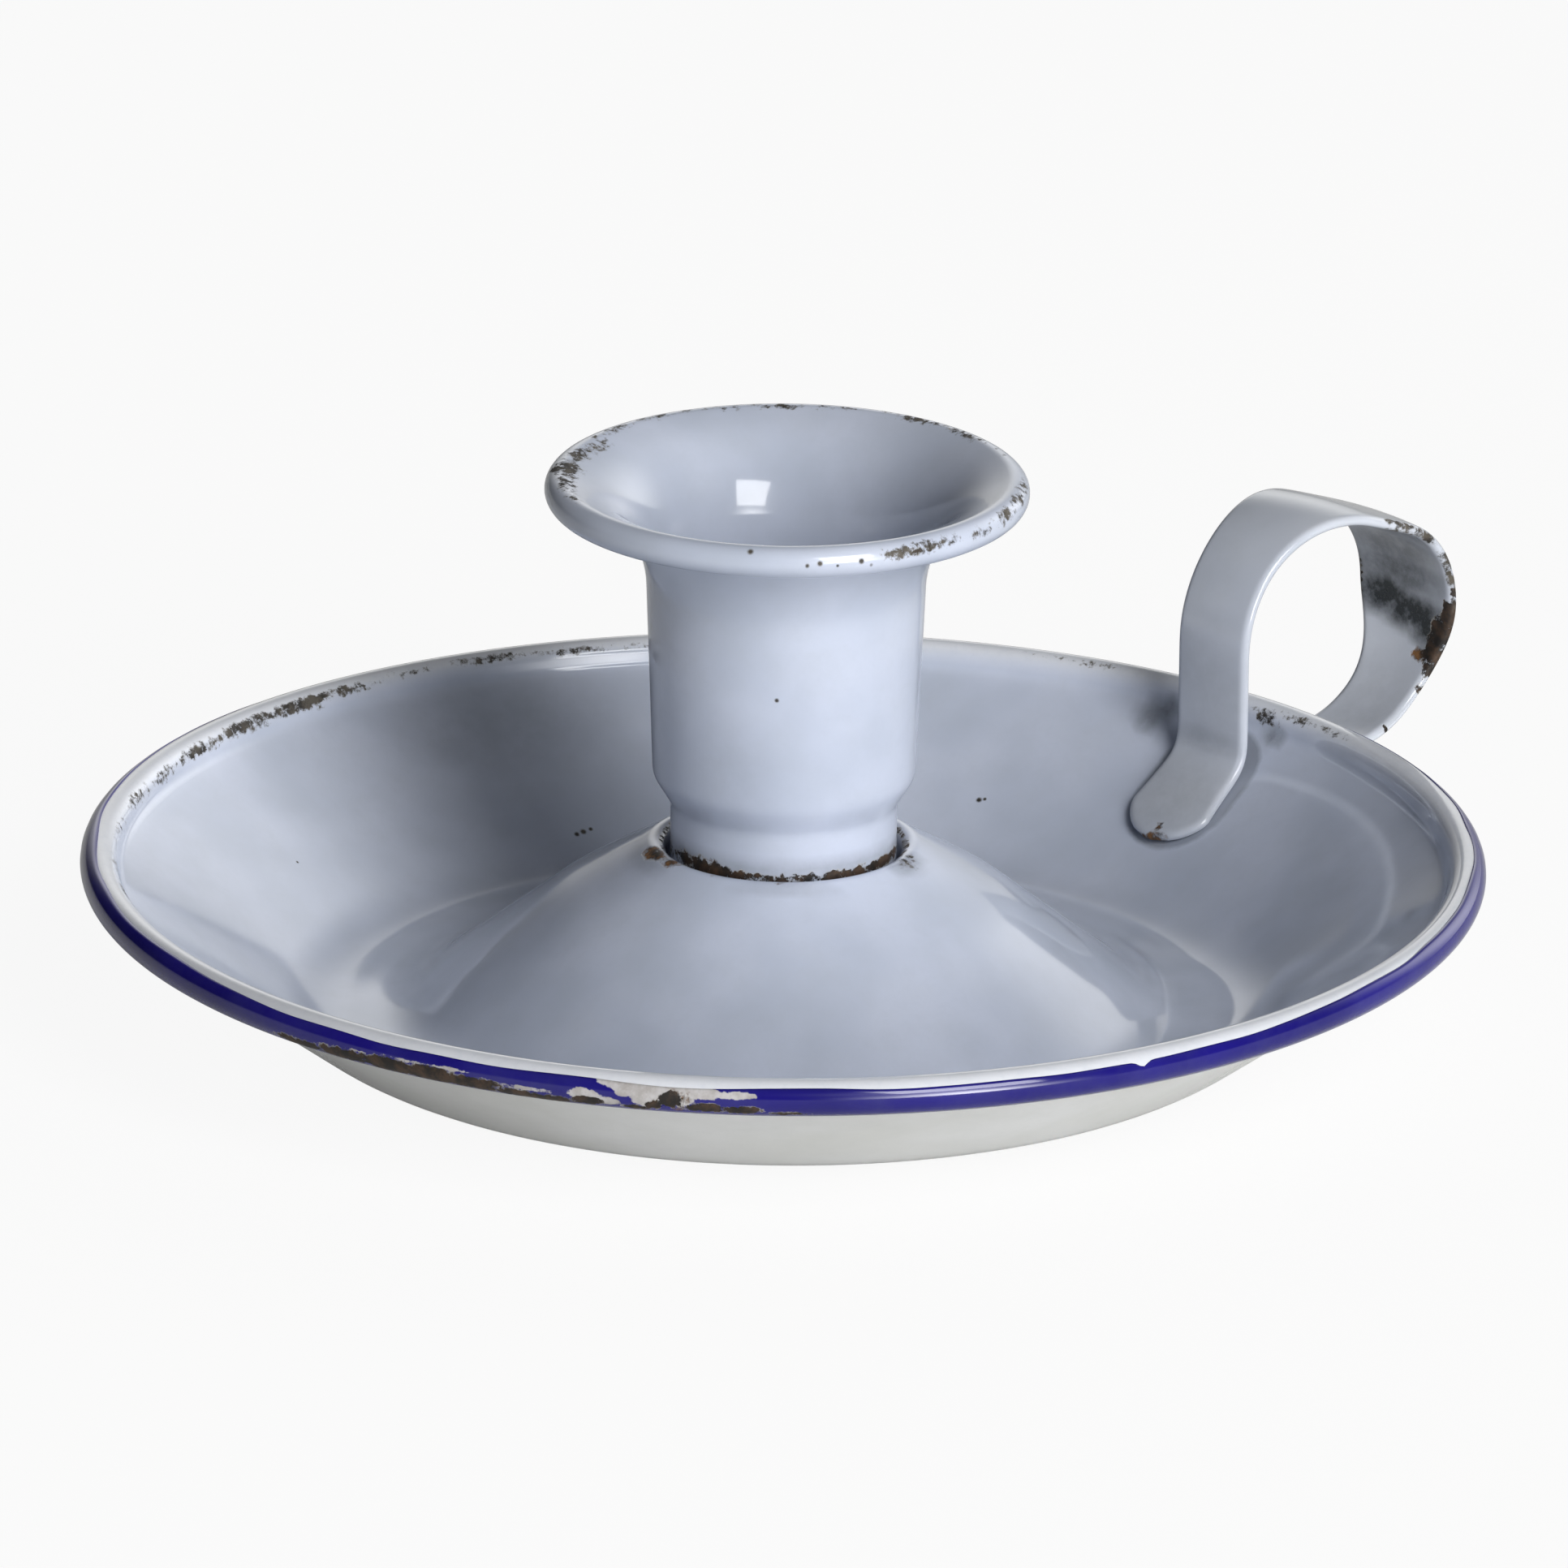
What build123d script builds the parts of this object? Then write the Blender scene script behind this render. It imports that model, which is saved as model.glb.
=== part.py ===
from build123d import *
import math
import os

# Chamberstick with finger loop, pressed and drawn in enamelled sheet steel. Millimetres, +Z up.
# The origin is on the axis of the pan, on the surface that it stands on. The finger loop points to +X.

# Drip pan
pan_diameter = 150.0
rim_height = 18.7
pan_sheet = 0.9
bead_diameter = 4.0
bead_riser_length = 1.5
bead_riser_angle = 75.0
bead_curl_angle = 265.0
rim_bend_radius = 1.6
wall_run = 24.75
foot_bend_radius = 13.0
floor_width = 10.05
boss_foot_bend_radius = 9.0
boss_height = 19.8
boss_shoulder_radius_share = 0.4
boss_shoulder_height_share = 0.68
boss_shoulder_bend_radius = 25.0
seat_depth = 4.5
seat_bend_radius = 0.8
crown_bend_radius = 0.9

# Cobalt border on the bead
band_thickness = 0.25
band_play = 0.2
band_upper_angle = 56.0
band_lower_angle = -86.0

# Candle socket
candle_bore_diameter = 22.4
socket_sheet = 0.9
seat_clearance = 0.45
socket_height = 60.6
floor_bend_radius = 1.2
neck_rise = 4.5
step_width = 1.95
step_rise = 3.2
step_bend_radius = 1.3
body_taper = 1.15
flare_depth = 4.0
flare_bend_radius = 12.5
flare_bend_limit_share = 0.95
lip_diameter = 52.2
lip_bead_diameter = 3.4
lip_curl_angle = 235.0

# Finger loop
strap_sheet = 1.2
strap_width = 14.0
waist_width = 10.4
waist_length = 26.0
loop_inset = 9.0
loop_reach = 22.6
loop_rise = 20.4
loop_drop = 7.4
loop_corner_share = 0.49
tongue_length = 12.0
tongue_width = 11.6
tongue_bend_radius = 5.5

# Spot welds
weld_gap = 0.25
weld_play = 0.02
loop_weld_diameter = 3.2
loop_weld_shares = (0.4, 0.72)
socket_weld_diameter = 3.4
socket_weld_count = 3
socket_weld_ring_share = 0.62

# One overrun serves every cut
overrun = 5.0

# Radii and heights along the middle of the pan's sheet
half_pan_sheet = pan_sheet / 2
bead_radius = bead_diameter / 2
bead_center = (pan_diameter / 2 - bead_radius, rim_height - bead_radius)
bead_middle_radius = bead_radius - half_pan_sheet
seat_top = boss_height - seat_depth
neck_radius = candle_bore_diameter / 2 + socket_sheet
seat_wall_radius = neck_radius + seat_clearance + half_pan_sheet
foot_radius = pan_diameter / 2 - wall_run
boss_foot_radius = foot_radius - floor_width


def around(center, radius, angle):
    """The point at an angle, in degrees, on a circle in the section plane."""
    turn = math.radians(angle)
    return (center[0] + radius * math.cos(turn), center[1] + radius * math.sin(turn))


def along(start, direction, distance, side=0.0):
    """The point at a distance along a direction, and a distance to its left."""
    return (
        start[0] + direction[0] * distance - direction[1] * side,
        start[1] + direction[1] * distance + direction[0] * side,
    )


# The wall is a cone from the foot to the groove below the bead
foot_corner = (foot_radius, half_pan_sheet)
bead_tangent = around(bead_center, bead_middle_radius, 90 + bead_riser_angle)
riser_end = around((0.0, 0.0), bead_riser_length, bead_riser_angle)
wall_top = (bead_tangent[0] - riser_end[0], bead_tangent[1] - riser_end[1])
wall_length = math.dist(foot_corner, wall_top)
wall_direction = (
    (wall_top[0] - foot_corner[0]) / wall_length,
    (wall_top[1] - foot_corner[1]) / wall_length,
)
wall_angle = math.degrees(math.atan2(wall_direction[1], wall_direction[0]))


def sheet_body(middle, sheet):
    """Sheet metal of revolution about Z, from the middle line of its section."""
    outline = Wire(middle).offset_2d(sheet / 2, side=Side.BOTH)
    reach = max(outline.bounding_box().max.X, outline.bounding_box().max.Y)
    half_plane = Pos(reach, 0) * Rectangle(2 * reach, 4 * reach)
    section = make_face(outline) & half_plane
    return revolve(Plane.XZ * section, axis=Axis.Z)


def rolled_edge(center, radius, start_angle, turn):
    """The arc of an edge that is rolled outwards and down."""
    return CenterArc((center[0], center[1]), radius, start_angle, -turn)


def band_ring(play, proud):
    """The border on the bead: a ring with some play around it, that stands proud of the bead or lies flush."""
    spare_angle = math.degrees(play / bead_radius)
    upper = band_upper_angle + spare_angle
    turn = upper - band_lower_angle + spare_angle
    outer = rolled_edge(bead_center, bead_radius + proud, upper, turn)
    inner = rolled_edge(bead_center, bead_radius - band_thickness - play, upper, turn)
    section = make_face([outer, inner, Line(outer @ 0, inner @ 0), Line(outer @ 1, inner @ 1)])
    return revolve(Plane.XZ * section, axis=Axis.Z)


def drip_pan():
    shoulder = (
        seat_wall_radius + (boss_foot_radius - seat_wall_radius) * boss_shoulder_radius_share,
        boss_height * boss_shoulder_height_share,
    )
    corners = [
        (0.0, seat_top - half_pan_sheet),
        (seat_wall_radius, seat_top - half_pan_sheet),
        (seat_wall_radius, boss_height),
        shoulder,
        (boss_foot_radius, half_pan_sheet),
        foot_corner,
        wall_top,
        bead_tangent,
    ]
    bends = [
        seat_bend_radius,
        crown_bend_radius,
        boss_shoulder_bend_radius,
        boss_foot_bend_radius,
        foot_bend_radius,
        rim_bend_radius,
    ]
    line = FilletPolyline(*corners, radius=bends)
    curl = rolled_edge(bead_center, bead_middle_radius, 90 + bead_riser_angle, bead_curl_angle)
    # The border lies in a shallow groove, flush with the bead on both sides of it
    return sheet_body([*line.edges(), curl], pan_sheet) - band_ring(band_play, band_thickness)


def rim_band():
    return band_ring(0.0, 0.0)


def candle_socket():
    half_sheet = socket_sheet / 2
    floor_middle = seat_top + weld_gap + half_sheet
    neck_middle = neck_radius - half_sheet
    lip_radius = lip_bead_diameter / 2
    lip_center = (lip_diameter / 2 - lip_radius, socket_height - lip_radius)
    lip_middle_radius = lip_radius - half_sheet
    step_height = boss_height + neck_rise
    body_foot = (neck_middle + step_width, step_height + step_rise)
    flare_corner = (body_foot[0] + body_taper, socket_height - flare_depth)
    # The flare runs tangent to the rolled lip
    rise = lip_center[1] - flare_corner[1]
    run = lip_center[0] - flare_corner[0]
    flare_angle = math.degrees(math.atan2(rise, run) + math.asin(lip_middle_radius / math.hypot(run, rise)))
    lip_tangent = around(lip_center, lip_middle_radius, 90 + flare_angle)
    # Where the flare is short, it limits its own bend
    body_angle = math.degrees(math.atan2(flare_corner[1] - body_foot[1], body_taper))
    flare_turn = math.radians(body_angle - flare_angle)
    flare_length = math.dist(flare_corner, lip_tangent)
    flare_limit = flare_bend_limit_share * flare_length / math.tan(flare_turn / 2)
    flare_bend = min(flare_bend_radius, flare_limit)
    corners = [
        (0.0, floor_middle),
        (neck_middle, floor_middle),
        (neck_middle, step_height),
        body_foot,
        flare_corner,
        lip_tangent,
    ]
    bends = [floor_bend_radius, step_bend_radius, step_bend_radius, flare_bend]
    line = FilletPolyline(*corners, radius=bends)
    curl = rolled_edge(lip_center, lip_middle_radius, 90 + flare_angle, lip_curl_angle)
    return sheet_body([*line.edges(), curl], socket_sheet)


# The strap's middle line, in the plane of the handle
half_strap_sheet = strap_sheet / 2
strap_offset = half_pan_sheet + weld_gap + half_strap_sheet
leg_radius = pan_diameter / 2 - loop_inset
loop_end = pan_diameter / 2 + loop_reach - half_strap_sheet
loop_top = rim_height + loop_rise - half_strap_sheet
loop_bottom = rim_height - loop_drop + half_strap_sheet
loop_middle = (leg_radius + loop_end) / 2


def wall_point(radius=None, height=None, side=0.0):
    """The point of a line beside the wall's middle at a radius or at a height."""
    start = along(foot_corner, wall_direction, 0.0, side)
    if height is None:
        distance = (radius - start[0]) / wall_direction[0]
    else:
        distance = (height - start[1]) / wall_direction[1]
    return along(start, wall_direction, distance)


inner_bend = wall_point(radius=leg_radius, side=strap_offset)
outer_bend = wall_point(height=loop_bottom, side=-strap_offset)
inner_tip = along(inner_bend, wall_direction, -tongue_length)
outer_tip = along(outer_bend, wall_direction, -tongue_length)


# Each waist is cut by a pair of upright cylinders, one beside each edge of the strap
waist_depth = (strap_width - waist_width) / 2


def waist_cut(radius_place, half_length, height):
    """What narrows the strap at a radius from the axis, from the ground up to a height."""
    radius = (half_length**2 + waist_depth**2) / (2 * waist_depth)
    offset = waist_width / 2 + radius
    post = Cylinder(radius, height, align=(Align.CENTER, Align.CENTER, Align.MIN))
    return Pos(radius_place, offset, 0) * post + Pos(radius_place, -offset, 0) * post


def tongue_end(tip):
    """What is cut away to round the end of a tongue."""
    radius = tongue_width / 2
    center = along(tip, wall_direction, radius)
    reach = radius + overrun
    block = Pos(-reach / 2, 0, 0) * Box(reach, 2 * reach, strap_sheet + 2 * weld_gap)
    disc = Cylinder(radius, strap_sheet + 2 * weld_gap)
    place = Plane(
        origin=(center[0], 0, center[1]),
        x_dir=(wall_direction[0], 0, wall_direction[1]),
        z_dir=(-wall_direction[1], 0, wall_direction[0]),
    )
    return place * (block - disc)


def finger_loop():
    corner_radius = loop_corner_share * min(loop_end - leg_radius, loop_top - loop_bottom)
    corners = [
        inner_tip,
        inner_bend,
        (leg_radius, loop_top),
        (loop_end, loop_top),
        (loop_end, loop_bottom),
        outer_bend,
        outer_tip,
    ]
    bends = [tongue_bend_radius, *[corner_radius] * 3, tongue_bend_radius]
    line = FilletPolyline(*corners, radius=bends)
    outline = Wire(line.edges()).offset_2d(half_strap_sheet, side=Side.BOTH)
    strap = extrude(Plane.XZ * make_face(outline), amount=strap_width / 2, both=True)
    inner_cut = waist_cut(leg_radius, waist_length / 2, loop_top + overrun)
    # The lower run is narrow too, and the strap is at its full width again at the loop's outer end
    outer_cut = waist_cut(loop_middle, loop_end - loop_middle, (loop_top + loop_bottom) / 2)
    strap = strap - inner_cut - outer_cut
    return strap - tongue_end(inner_tip) - tongue_end(outer_tip)


def loop_welds():
    """Two weld nuggets under each tongue, between the strap and the wall."""
    disc = Cylinder(loop_weld_diameter / 2, weld_gap - 2 * weld_play)
    side = half_pan_sheet + weld_gap / 2
    nuggets = []
    for bend, direction in ((inner_bend, side), (outer_bend, -side)):
        for share in loop_weld_shares:
            level = along(bend, wall_direction, -tongue_length * share)
            point = wall_point(radius=level[0], side=direction)
            place = Plane(
                origin=(point[0], 0, point[1]),
                x_dir=(wall_direction[0], 0, wall_direction[1]),
                z_dir=(-wall_direction[1], 0, wall_direction[0]),
            )
            nuggets.append(place * disc)
    return Compound(nuggets)


def socket_welds():
    """Weld nuggets in a ring between the socket's floor and the seat."""
    disc = Cylinder(socket_weld_diameter / 2, weld_gap - 2 * weld_play)
    ring = neck_radius * socket_weld_ring_share
    places = PolarLocations(ring, socket_weld_count)
    level = Pos(0, 0, seat_top + weld_gap / 2)
    return Compound([level * place * disc for place in places])


os.makedirs("parts", exist_ok=True)
for make in (drip_pan, rim_band, candle_socket, socket_welds, finger_loop, loop_welds):
    export_step(make(), f"parts/{make.__name__}.step")
print("wall slope in degrees", round(wall_angle, 1))
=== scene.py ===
import math
import bmesh
import bpy
import numpy as np
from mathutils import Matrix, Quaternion, Vector, noise


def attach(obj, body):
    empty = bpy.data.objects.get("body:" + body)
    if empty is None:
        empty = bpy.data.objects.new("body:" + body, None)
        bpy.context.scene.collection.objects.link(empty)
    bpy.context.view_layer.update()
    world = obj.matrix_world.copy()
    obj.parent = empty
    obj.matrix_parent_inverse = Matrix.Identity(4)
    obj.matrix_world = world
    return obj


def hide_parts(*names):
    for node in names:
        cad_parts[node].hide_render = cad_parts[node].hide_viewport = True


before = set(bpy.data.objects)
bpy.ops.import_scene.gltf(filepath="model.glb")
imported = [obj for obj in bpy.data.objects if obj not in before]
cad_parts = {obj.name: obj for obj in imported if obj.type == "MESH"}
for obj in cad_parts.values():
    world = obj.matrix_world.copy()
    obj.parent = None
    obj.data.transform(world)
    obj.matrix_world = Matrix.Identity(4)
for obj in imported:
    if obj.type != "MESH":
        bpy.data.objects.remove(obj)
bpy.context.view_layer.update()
mm = 0.001
print("frame loaded:", ", ".join(sorted(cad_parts)))


# Camera: the photograph's view, almost flat because it was taken from far away

camera = {
    "azimuth": -45.5,  # degrees, so that the finger loop points right and away
    "elevation": 18.9,
    "roll": 0.62,
    "distance": 3.0,  # metres
    "aimHeight": 25.9,  # mm above the table, on the axis of the socket
    "pixelsPerMm": 11.56,  # at the axis, in a frame of 1932 pixels
    "framePixels": 1932,
    "sensor": 36.0,
}


def addCamera(look):
    lens = bpy.data.cameras.new("camera")
    lens.sensor_width = look["sensor"]
    frameWidth = look["framePixels"] / look["pixelsPerMm"] * mm
    lens.lens = look["sensor"] * look["distance"] / frameWidth
    turn, rise = math.radians(look["azimuth"]), math.radians(look["elevation"])
    back = Vector((math.sin(turn) * math.cos(rise), -math.cos(turn) * math.cos(rise), math.sin(rise)))
    eye = bpy.data.objects.new("camera", lens)
    eye.location = Vector((0, 0, look["aimHeight"] * mm)) + back * look["distance"]
    eye.rotation_mode = "QUATERNION"
    eye.rotation_quaternion = (-back).to_track_quat("-Z", "Y") @ Quaternion((0, 0, 1), math.radians(look["roll"]))
    bpy.context.scene.collection.objects.link(eye)
    bpy.context.scene.camera = eye


addCamera(camera)
print("camera placed")


# Materials

def hexColor(code):
    channels = [int(code[i:i + 2], 16) / 255 for i in (1, 3, 5)]
    return [c / 12.92 if c <= 0.04045 else ((c + 0.055) / 1.055) ** 2.4 for c in channels] + [1.0]


def addNode(tree, kind, inputs, output=0, **settings):
    node = tree.nodes.new("ShaderNode" + kind)
    for name, value in settings.items():
        setattr(node, name, value)
    for name, value in inputs.items():
        if isinstance(value, bpy.types.NodeSocket):
            tree.links.new(value, node.inputs[name])
        else:
            node.inputs[name].default_value = value
    return node.outputs[output]


def newMaterial(name):
    material = bpy.data.materials.new(name)
    material.use_nodes = True
    tree = material.node_tree
    return material, tree, tree.nodes["Principled BSDF"]


# Vitreous enamel is glass fused on steel: a hard wet gloss over a slightly cloudy colour. It breaks away in chips
# that show a white ground coat and then bare iron gone brown, and rubs through to dark specks on every edge
enamelLook = {
    "noises": {  # size of the grain in mm, detail, roughness
        "fine": (1.1, 6.0, 0.7),
        "coarse": (2.0, 5.0, 0.66),
        "cloud": (16.0, 2.0, 0.5),
        "mottle": (1.2, 4.0, 0.7),
        "film": (6.0, 5.0, 0.62),
        "grit": (0.9, 5.0, 0.72),
        "peel": (3.2, 1.0, 0.4),
    },
    "ranges": {  # of noise or of wear, between which each thing comes in
        "patchy": (0.38, 0.66),
        "cloud": (0.3, 0.7),
        "mottle": (0.48, 0.8),
        "film": (0.42, 0.75),
        "bare": (0.36, 0.6),
        "stainAndShadeNoise": (0.2, 0.6),
        "chip": (0.4, 0.52),
        "halo": (0.3, 0.42),
        "rust": (0.32, 0.72),
        "shade": (0.4, 0.66),
        "speck": (0.8, 0.98),
    },
    "roughness": 0.09,
    "wornRoughness": 0.65,
    "stainAndShadeDullness": 0.3,  # beside a worn place
    "ior": 1.52,
    "chipDepth": 0.12,  # mm
    "peelDepth": 0.005,
    "mottleShare": 0.25,
    "filmShare": 0.1,
    "coverFilm": 0.4,  # how much of the film lies on a coat over another
    "cleanGround": 0.55,  # how much of the ground coat is free of grime
    "stainAndShadeFloor": 0.55,  # strength of the stains and painted shade where the noise is low
    "tear": 0.7,  # how far the noises tear the edges of worn places
    "chipTear": 0.75,
    "fineTear": 2.0,  # weight of the fine noise beside the coarse one
    "touchGain": 4.0,  # how quickly a place counts as touched by wear
    "clumps": 0.35,  # weight of the coarse noise in the specks
    "rubbing": 0.3,  # weight of the wear in the specks
    "pinhole": (0.6, 1.6, 0.9),  # raggedness, outer edge and inner edge, in radii
    "film": "#9AA09C",  # the thin grey film that never washes off
    "ground": "#BDBAB4",
    "grime": "#857A70",
    "iron": ("#191512", "#4A382A"),
    "rust": ("#241B12", "#86603A"),
    "stainAndShade": "#34383A",
    "speck": ("#2A2622", "#5A544B"),
}
smooth = {"interpolation_type": "SMOOTHSTEP"}
colorMix = {"output": 2, "data_type": "RGBA"}


def tornPatch(tree, name, fine, coarse, reach):
    # the worn field of that name, with its edge torn by the two noises, and nothing where the field is nothing
    weight = enamelLook["fineTear"]
    worn = addNode(tree, "Attribute", {}, output="Fac", attribute_name=name)
    touched = addNode(
        tree, "Math", {0: worn, 1: enamelLook["touchGain"]}, operation="MULTIPLY", use_clamp=True)
    swing = addNode(tree, "Math", {0: fine, 1: weight, 2: coarse}, operation="MULTIPLY_ADD")
    swing = addNode(tree, "Math", {0: swing, 1: (weight + 1) / 2}, operation="SUBTRACT")
    swing = addNode(tree, "Math", {0: swing, 1: touched}, operation="MULTIPLY")
    return addNode(tree, "Math", {0: swing, 1: reach, 2: worn}, operation="MULTIPLY_ADD")


def enamel(name, light, dark, edge, under=None, stainAndShadeField="stainAndShade", dots=(), seams=()):
    look = enamelLook
    material, tree, shader = newMaterial(name)
    coords = addNode(tree, "TexCoord", {}, output="Object")
    noises = {
        kind: addNode(tree, "TexNoise", {
            "Vector": coords, "Scale": 1 / (grain * mm), "Detail": detail, "Roughness": roughness})
        for kind, (grain, detail, roughness) in look["noises"].items()}
    ranges = {kind: {"From Min": low, "From Max": high} for kind, (low, high) in look["ranges"].items()}
    fine, coarse = noises["fine"], noises["coarse"]
    patchy = addNode(tree, "MapRange", {"Value": coarse, **ranges["patchy"]}, **smooth)

    # the coat: two clouded shades, a paler edge that is partly a painted highlight on the bead, a fine mottle and a
    # thin grey film
    cloud = addNode(tree, "MapRange", {"Value": noises["cloud"], **ranges["cloud"]}, **smooth)
    pale = addNode(tree, "Attribute", {}, output="Fac", attribute_name="pale")
    mottle = addNode(tree, "MapRange", {
        "Value": noises["mottle"], **ranges["mottle"], "To Max": look["mottleShare"]})
    filmShare = look["filmShare"] * (look["coverFilm"] if under else 1)
    film = addNode(tree, "MapRange", {"Value": noises["film"], **ranges["film"], "To Max": filmShare})
    layers = [
        (cloud, hexColor(dark)), (pale, hexColor(edge)), (mottle, hexColor(dark)),
        (film, hexColor(look["film"]))]

    # worn through to the ground coat
    if under:
        bare = tornPatch(tree, "bare", fine, coarse, look["tear"])
        bare = addNode(tree, "MapRange", {"Value": bare, **ranges["bare"]}, **smooth)
        clean, grime = hexColor(under), hexColor(look["grime"])
        coat = addNode(tree, "Mix", {"Factor": patchy, 6: clean, 7: grime}, **colorMix)
        coat = addNode(tree, "Mix", {"Factor": look["cleanGround"], 6: coat, 7: clean}, **colorMix)
        layers.append((bare, coat))

    # soft dark patches: stains, painted shade and a painted reflection, and painted contact shade with dirt along
    # the edge of what is welded on
    stainAndShade = addNode(tree, "Attribute", {}, output="Fac", attribute_name=stainAndShadeField)
    stainAndShadeNoise = addNode(tree, "MapRange", {"Value": coarse, **ranges["stainAndShadeNoise"], "To Min": look["stainAndShadeFloor"]})
    stainAndShade = addNode(tree, "Math", {0: stainAndShade, 1: stainAndShadeNoise}, operation="MULTIPLY")
    for start, way, length, radius, width, strength in seams:
        offset = addNode(tree, "VectorMath", {0: coords, 1: Vector(start) * mm}, operation="SUBTRACT")
        along = addNode(tree, "VectorMath", {0: offset, 1: Vector(way)}, output="Value", operation="DOT_PRODUCT")
        along = addNode(tree, "Clamp", {"Value": along, "Min": 0.0, "Max": length * mm})
        nearest = addNode(tree, "VectorMath", {0: Vector(way), "Scale": along}, operation="SCALE")
        away = addNode(tree, "VectorMath", {0: offset, 1: nearest}, output="Value", operation="DISTANCE")
        ragged = addNode(tree, "Math", {0: coarse, 1: -width * mm, 2: away}, operation="MULTIPLY_ADD")
        line = addNode(tree, "MapRange", {
            "Value": ragged, "From Min": (radius + width) * mm, "From Max": radius * mm, "To Max": strength})
        stainAndShade = addNode(tree, "Math", {0: stainAndShade, 1: line}, operation="MAXIMUM")

    # chips with a broken pale rim, and rust beside them
    chipped = tornPatch(tree, "chip", fine, coarse, look["chipTear"])
    chip = addNode(tree, "MapRange", {"Value": chipped, **ranges["chip"]}, **smooth)
    halo = addNode(tree, "MapRange", {"Value": chipped, **ranges["halo"]})
    halo = addNode(tree, "Math", {0: halo, 1: patchy}, operation="MULTIPLY")
    rust = tornPatch(tree, "rust", fine, coarse, look["tear"])
    rust = addNode(tree, "MapRange", {"Value": rust, **ranges["rust"]}, **smooth)
    shade = addNode(tree, "MapRange", {"Value": fine, **ranges["shade"]}, **smooth)

    # rubbed edges: fine specks in clumps, denser where the edge is more worn
    rubbed = addNode(tree, "Attribute", {}, output="Fac", attribute_name="speck")
    grit = addNode(tree, "Math", {0: coarse, 1: look["clumps"], 2: noises["grit"]}, operation="MULTIPLY_ADD")
    grit = addNode(tree, "Math", {0: rubbed, 1: look["rubbing"], 2: grit}, operation="MULTIPLY_ADD")
    speck = addNode(tree, "MapRange", {"Value": grit, **ranges["speck"]}, **smooth)
    touched = addNode(tree, "Math", {0: rubbed, 1: look["touchGain"]}, operation="MULTIPLY", use_clamp=True)
    speck = addNode(tree, "Math", {0: speck, 1: touched}, operation="MULTIPLY")

    # pinholes, each at its own place
    raggedness, outer, inner = look["pinhole"]
    for place, radius in dots:
        away = addNode(tree, "VectorMath", {0: coords, 1: Vector(place) * mm}, output="Value", operation="DISTANCE")
        away = addNode(tree, "Math", {0: fine, 1: raggedness * radius * mm, 2: away}, operation="MULTIPLY_ADD")
        hole = addNode(tree, "MapRange", {
            "Value": away, "From Min": outer * radius * mm, "From Max": inner * radius * mm})
        speck = addNode(tree, "Math", {0: speck, 1: hole}, operation="MAXIMUM")

    # each layer lies over the ones before it
    tones = {
        kind: addNode(tree, "Mix", {
            "Factor": share, 6: hexColor(look[kind][0]), 7: hexColor(look[kind][1])}, **colorMix)
        for kind, share in (("rust", shade), ("iron", patchy), ("speck", patchy))}
    layers += [
        (stainAndShade, hexColor(look["stainAndShade"])), (halo, hexColor(look["ground"])), (rust, tones["rust"]),
        (chip, tones["iron"]), (speck, tones["speck"])]
    color = hexColor(light)
    for share, over in layers:
        color = addNode(tree, "Mix", {"Factor": share, 6: color, 7: over}, **colorMix)

    # worn places are pitted and dull, and the glass has a faint orange peel
    worn = addNode(tree, "Math", {0: chip, 1: rust}, operation="MAXIMUM")
    pits = addNode(tree, "Math", {0: worn, 1: -look["chipDepth"]}, operation="MULTIPLY")
    worn = addNode(tree, "Math", {0: worn, 1: speck}, operation="MAXIMUM")
    worn = addNode(
        tree, "Math", {0: stainAndShade, 1: look["stainAndShadeDullness"], 2: worn}, operation="MULTIPLY_ADD", use_clamp=True)
    roughness = addNode(tree, "MapRange", {
        "Value": worn, "To Min": look["roughness"], "To Max": look["wornRoughness"]})
    height = addNode(tree, "Math", {0: noises["peel"], 1: look["peelDepth"], 2: pits}, operation="MULTIPLY_ADD")
    normal = addNode(tree, "Bump", {"Height": height, "Distance": mm, "Strength": 1.0})
    shader.inputs["IOR"].default_value = look["ior"]
    tree.links.new(color, shader.inputs["Base Color"])
    tree.links.new(roughness, shader.inputs["Roughness"])
    tree.links.new(normal, shader.inputs["Normal"])
    return material


def ringPlace(angle, radius, height):
    turn = math.radians(angle)
    return (radius * math.cos(turn), radius * math.sin(turn), height)


pinholes = [
    (ringPlace(-138.9, 14.5, 40.2), 0.24),
    (ringPlace(69.3, 53.4, 3.3), 0.3),
    (ringPlace(68.4, 53.6, 3.4), 0.34),
    (ringPlace(67.4, 53.8, 3.5), 0.24),
    (ringPlace(22.8, 57.3, 6.1), 0.32),
    (ringPlace(22.2, 57.5, 6.2), 0.2),
    (ringPlace(107.4, 58.8, 7.2), 0.18),
    (ringPlace(-144.2, 25.1, 60.2), 0.34),
    (ringPlace(-130.6, 25.7, 59.0), 0.24),
    (ringPlace(-127.6, 25.7, 59.2), 0.28),
    (ringPlace(-123.4, 25.7, 58.9), 0.18),
    (ringPlace(-117.6, 25.7, 59.2), 0.3),
    (ringPlace(-115.2, 25.6, 58.7), 0.22),
]
# painted contact shade and dirt along the edge of the tongue: start, way, length, radius, width, strength
tongueSeam = [((61.5, 0, 9.2), (0.809, 0, 0.588), 4.6, 5.7, 0.7, 0.45)]
paleShades = ("#CDD4E5", "#BFC7D8", "#E2E5EC")  # light, dark, edge
# the loop's coat is painted lighter than the pan's, standing in for light from above
litLoopShades = ("#D3D8E2", "#C6CCD8", "#E4E7EE")
panEnamel = enamel("pale blue vitreous enamel on the pan", *paleShades, dots=pinholes, seams=tongueSeam)
paleEnamel = enamel("pale blue vitreous enamel", *paleShades, dots=pinholes)
litLoopEnamel = enamel("pale grey vitreous enamel on the loop", *litLoopShades)
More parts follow.
